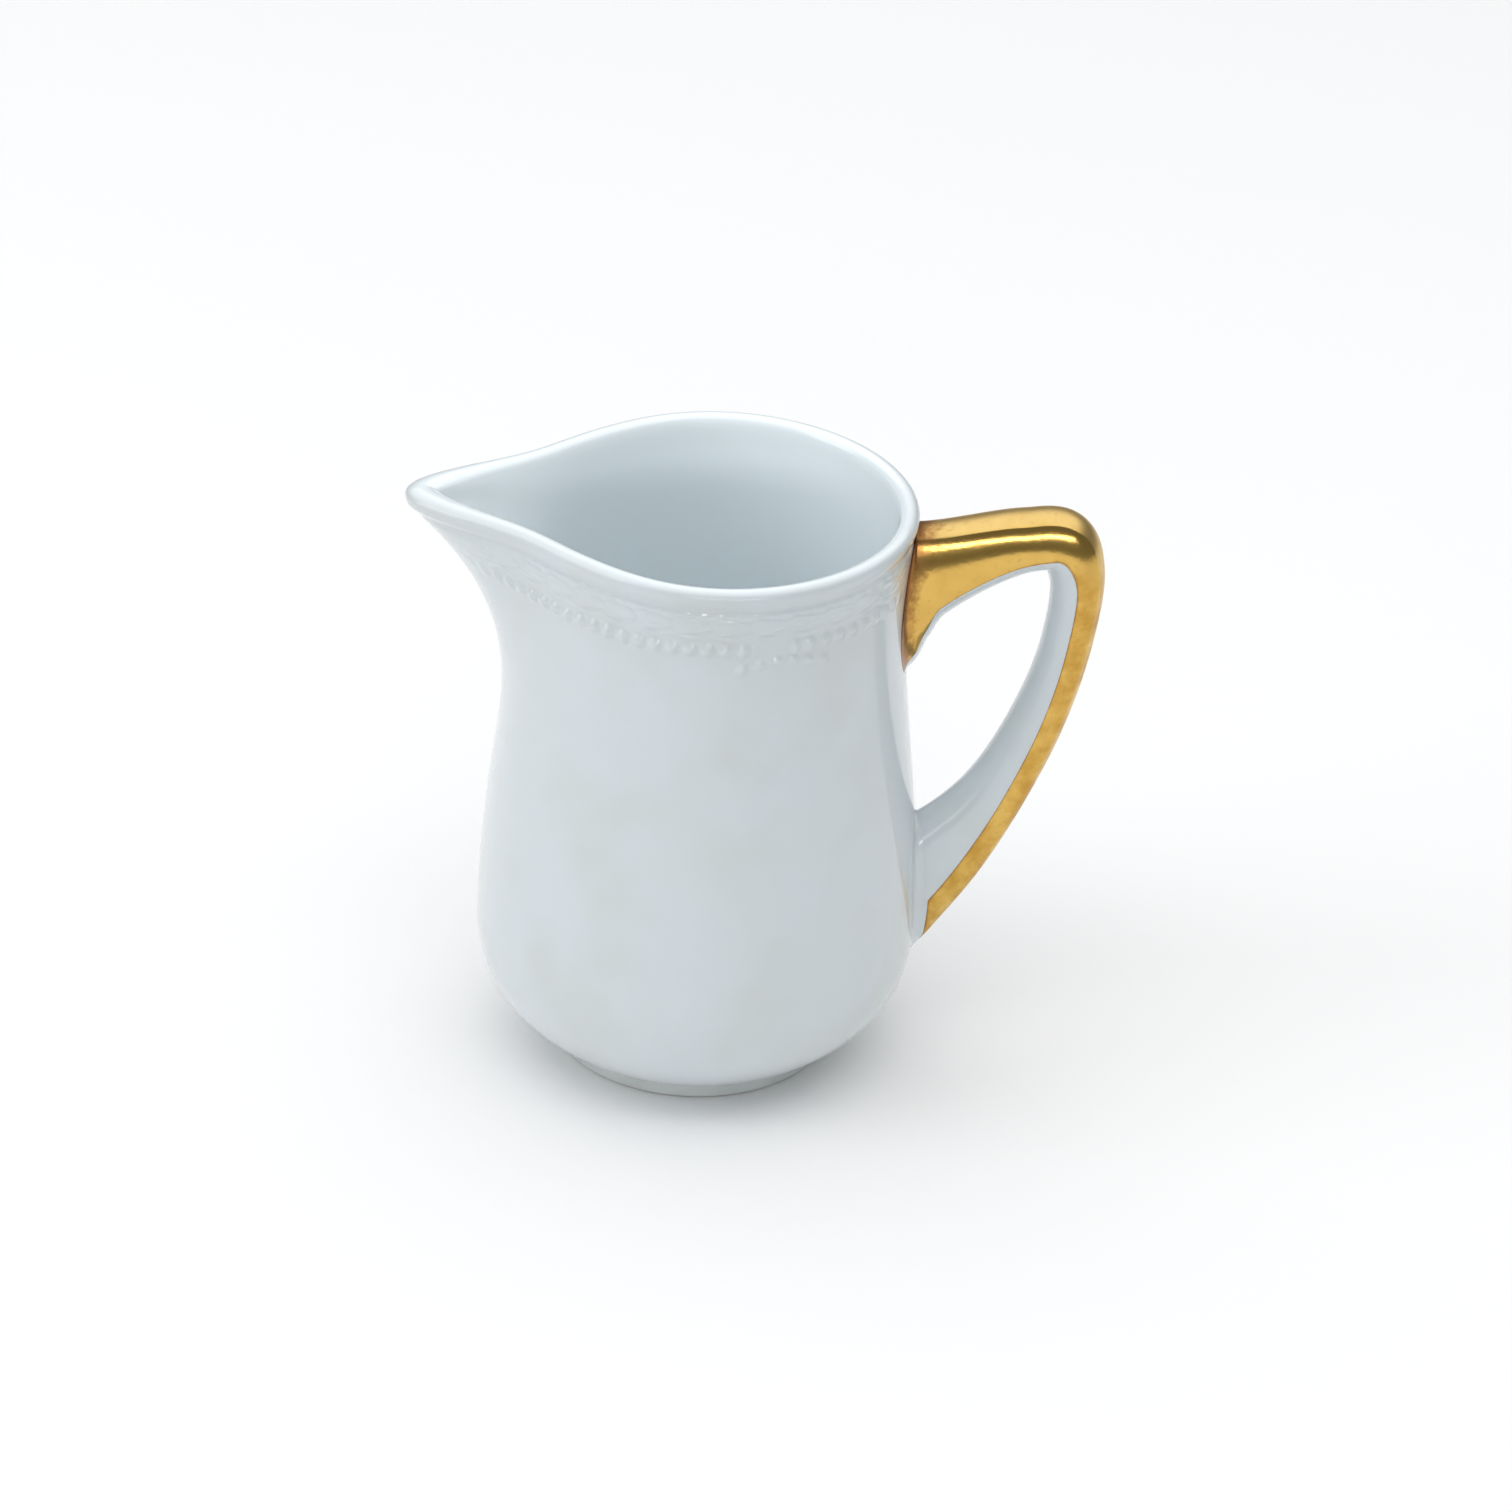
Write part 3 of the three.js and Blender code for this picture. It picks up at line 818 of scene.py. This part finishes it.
def gilding_shading(surface, turns, progress_rows):
    """How near each point is to the gold's edges and the wall, where painted shade darkens it, and
    how satin and worn it is; the satin share also paints the back paler as sheen.
    """
    rows, columns = turns.shape
    across = np.linalg.norm(np.diff(surface, axis=1), axis=-1)
    from_start = np.concatenate([np.zeros((rows, 1)), np.cumsum(across, axis=1)], axis=1)
    to_side = np.minimum(from_start, from_start[:, -1:] - from_start)
    length = np.linalg.norm(np.diff(surface, axis=0), axis=-1)
    from_wall = np.concatenate([np.zeros((1, columns)), np.cumsum(length, axis=0)], axis=0)
    to_end = from_wall[-1:] - from_wall
    soft_edge = 0.25 + np.minimum(to_side, to_end) / 0.0012
    edge = np.minimum(soft_edge, from_wall / 0.0026)
    wear = np.broadcast_to(smoothstep(0.3, 0.5, progress_rows)[:, None], edge.shape)
    return {
        "edge": np.clip(edge, 0, 1),
        "wall": np.clip(from_wall / 0.0060, 0, 1),
        # Painted sheen and satin: where the back is painted paler and made rougher.
        "satin_and_painted_sheen": smoothstep(0.68, 0.78, np.cos(turns)),
        "wear": 0.25 + 0.75 * wear,
    }


def make_gilding(material):
    """A thin skin over the back and flanks, from the neck to just above the lower joint."""
    columns = 81
    progress_rows = np.concatenate([np.linspace(-1, 0, 12)[:-1], np.linspace(0, 0.991, 150)])
    side = np.linspace(-1, 1, columns)
    middle_share = lerp(UPPER_START_SHARE.mean(), LOWER_START_SHARE.mean(),
                        np.clip(progress_rows, 0, 1))
    reach = gilding_reach(middle_share)
    progress = np.broadcast_to(progress_rows[:, None], (len(progress_rows), columns))
    turns = reach[:, None] * side[None, :]
    surface = handle_surface(progress, turns)
    normals = surface_normals(progress, turns)
    outer = surface + normals * GILDING_LIFT
    inner = surface - normals * GILDING_LIFT
    rows = len(progress_rows)
    count = rows * columns
    top_faces = grid_faces(rows, columns, wrap_columns=False)
    faces = np.concatenate([top_faces, top_faces[:, ::-1] + count]).tolist()
    border = gilding_border(rows, columns)
    for here, there in zip(border, border[1:] + border[:1]):
        faces.append([here, there, there + count, here + count])

    shading = gilding_shading(surface, turns, progress_rows)
    both = {key: np.concatenate([values.ravel()] * 2) for key, values in shading.items()}
    points = np.concatenate([outer.reshape(-1, 3), inner.reshape(-1, 3)])
    piece = make_piece("gilding", points, faces, material, both,
                       normals=np.concatenate([normals, -normals]))
    dress(piece, "handle_gilding")


# Stage ------------------------------------------------------------------------------------

def make_camera():
    """A long lens from the front, tilted down, square to the plane of spout and handle."""
    elevation = math.radians(CAMERA_ELEVATION)
    roll = math.radians(CAMERA_ROLL)
    target = np.array((AXIS_X, 0.0, CAMERA_TARGET_HEIGHT))
    back = np.array((0.0, -math.cos(elevation), math.sin(elevation)))
    right = np.array((1.0, 0.0, 0.0))
    up = np.cross(back, right)
    tilted_right = right * math.cos(roll) + up * math.sin(roll)
    tilted_up = up * math.cos(roll) - right * math.sin(roll)
    camera = bpy.data.objects.new("camera", bpy.data.cameras.new("camera"))
    place = target + back * CAMERA_DISTANCE
    camera.matrix_world = Matrix([
        (tilted_right[0], tilted_up[0], back[0], place[0]),
        (tilted_right[1], tilted_up[1], back[1], place[1]),
        (tilted_right[2], tilted_up[2], back[2], place[2]),
        (0, 0, 0, 1),
    ])
    camera.data.lens = CAMERA_LENS
    camera.data.sensor_width = 36.0
    camera.data.shift_x, camera.data.shift_y = CAMERA_SHIFT
    bpy.context.scene.collection.objects.link(camera)
    bpy.context.scene.camera = camera


def make_floor():
    mesh = bpy.data.meshes.new("floor")
    mesh.from_pydata([(-0.9, -0.42, 0), (0.9, -0.42, 0), (0.9, 1.3, 0), (-0.9, 1.3, 0)],
                     [], [(0, 1, 2, 3)])
    floor = bpy.data.objects.new("floor", mesh)
    bpy.context.scene.collection.objects.link(floor)
    material, _, _ = new_material("floor", Base_Color=(0.93, 0.93, 0.93, 1), Roughness=0.6)
    mesh.materials.append(material)


def make_light(name, place, aim, size, power):
    """A soft rectangular light, white, turned to face its aim."""
    data = bpy.data.lights.new(name, "AREA")
    data.shape = "RECTANGLE"
    data.size, data.size_y = size
    data.energy = power
    light = bpy.data.objects.new(name, data)
    light.location = place
    direction = np.array(aim) - np.array(place)
    light.rotation_euler = Vector(direction).to_track_quat("-Z", "Y").to_euler()
    bpy.context.scene.collection.objects.link(light)
    return light


def make_world():
    world = bpy.data.worlds.new("studio")
    world.use_nodes = True
    background = world.node_tree.nodes["Background"]
    background.inputs["Color"].default_value = (0.93, 0.96, 1.0, 1.0)
    background.inputs["Strength"].default_value = 0.20
    bpy.context.scene.world = world


# Assembly ---------------------------------------------------------------------------------

body_glaze = porcelain_material("glazed_porcelain")
handle_glaze = porcelain_material("handle_porcelain")
make_body(body_glaze)
make_foot(foot_material())
sweep_piece("handle", np.linspace(0, 1, 141), handle_glaze, "handle_casting")
sweep_piece("upper_slip", np.linspace(-1, 0, 12), handle_glaze,
            "upper_handle_slip")
sweep_piece("lower_slip", np.linspace(1, 2, 12), handle_glaze,
            "lower_handle_slip")
make_gilding(gold_material())

make_camera()
make_floor()
make_world()
make_light("overhead", (0.0, 0.5, 1.0), (0, 0.5, 0.05), (2.4, 2.0), 17.5)
steep_front = make_light("steep_front", (0.0, -0.6, 1.0), (0, 0, 0.06), (1.4, 0.7), 3.6)
# Kept out of reflections, so that the gold shows one bright streak and not two.
steep_front.visible_glossy = False
make_light("left_window", (-1.1, -0.3, 0.6), (0, 0, 0.05), (0.7, 0.8), 3.6)
make_light("front_strip", (0.1, -1.2, 0.30), (0, 0, 0.06), (1.0, 0.12), 2.6)
bpy.context.scene.view_settings.view_transform = "Standard"
